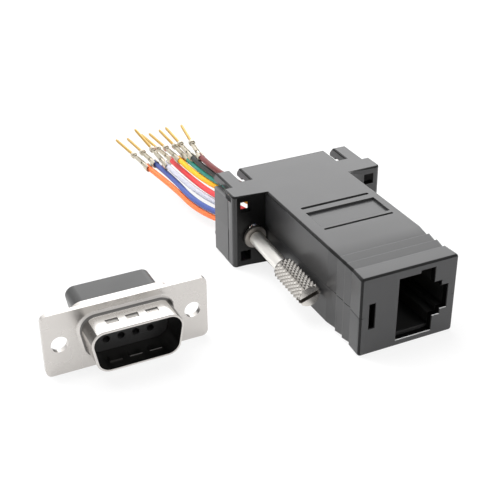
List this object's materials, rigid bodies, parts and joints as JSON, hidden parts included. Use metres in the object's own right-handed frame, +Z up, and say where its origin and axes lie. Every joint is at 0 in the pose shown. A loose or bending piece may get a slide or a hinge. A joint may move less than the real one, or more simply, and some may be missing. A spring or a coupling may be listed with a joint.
{
  "type": "serial adapter",
  "caption": "Hooded adapter from a modular jack socket to a D connector, with loose crimped leads and captive thumbscrews.",
  "frame": {"origin": "centre of the hood's flat underside", "axes": "+Z up from the hood's underside, -Y is the way a plug comes out of the jack, +Y toward the connector end and the leads, +X to the right of the jack seen from its front"},
  "size_m": [0.0791, 0.0976, 0.0163],
  "materials": {
    "hood": "fine satin texture",
    "insert": "satin",
    "gold": "thin gold plating",
    "shell": "bright tin plating",
    "insulator": "satin",
    "screw": "bright nickel plating",
    "crimp": "gold at the nose, tin at the crimp",
    "lead_orange": "soft sleeve",
    "lead_blue": "soft sleeve",
    "lead_white": "soft sleeve",
    "lead_red": "soft sleeve",
    "lead_yellow": "soft sleeve",
    "lead_green": "soft sleeve",
    "lead_black": "soft sleeve",
    "lead_brown": "soft sleeve"
  },
  "bodies": {
    "hood": {"hood_upper": "hood", "hood_lower": "hood", "jack_insert": "insert", "jack_clamp": "insert", "jack_contact_1": "gold", "jack_contact_2": "gold", "jack_contact_3": "gold", "jack_contact_4": "gold", "jack_contact_5": "gold", "jack_contact_6": "gold", "jack_contact_7": "gold", "jack_contact_8": "gold", "connector_shell_front": "shell", "connector_shell_rear": "shell", "connector_insulator_front": "insulator", "connector_insulator_rear": "insulator", "lead_orange": "lead_orange", "lead_blue": "lead_blue", "lead_white": "lead_white", "lead_red": "lead_red", "lead_yellow": "lead_yellow", "lead_green": "lead_green", "lead_black": "lead_black", "lead_brown": "lead_brown", "pin_orange": "crimp", "pin_blue": "crimp", "pin_white": "crimp", "pin_red": "crimp", "pin_yellow": "crimp", "pin_green": "crimp", "pin_black": "crimp", "pin_brown": "crimp"},
    "collar_left": {"thumbscrew_collar_left": "screw"},
    "screw_left": {"thumbscrew_left": "screw"},
    "collar_right": {"thumbscrew_collar_right": "screw"},
    "screw_right": {"thumbscrew_right": "screw"}
  },
  "joints": [
    {"name": "collar_left_slide", "type": "slide", "parent": "hood", "child": "collar_left", "axis": [0, -0.999, -0.0436], "range_m": [0, 0.002]},
    {"name": "screw_left_turn", "type": "hinge", "parent": "collar_left", "child": "screw_left", "pos_m": [-0.01249, 0.01289, 0.00678], "axis": [0, 0.999, 0.0436], "continuous": true},
    {"name": "collar_right_slide", "type": "slide", "parent": "hood", "child": "collar_right", "axis": [0, -0.999, -0.0436], "range_m": [0, 0.002]},
    {"name": "screw_right_turn", "type": "hinge", "parent": "collar_right", "child": "screw_right", "pos_m": [0.01249, 0.01289, 0.00678], "axis": [0, 0.999, 0.0436], "continuous": true}
  ]
}
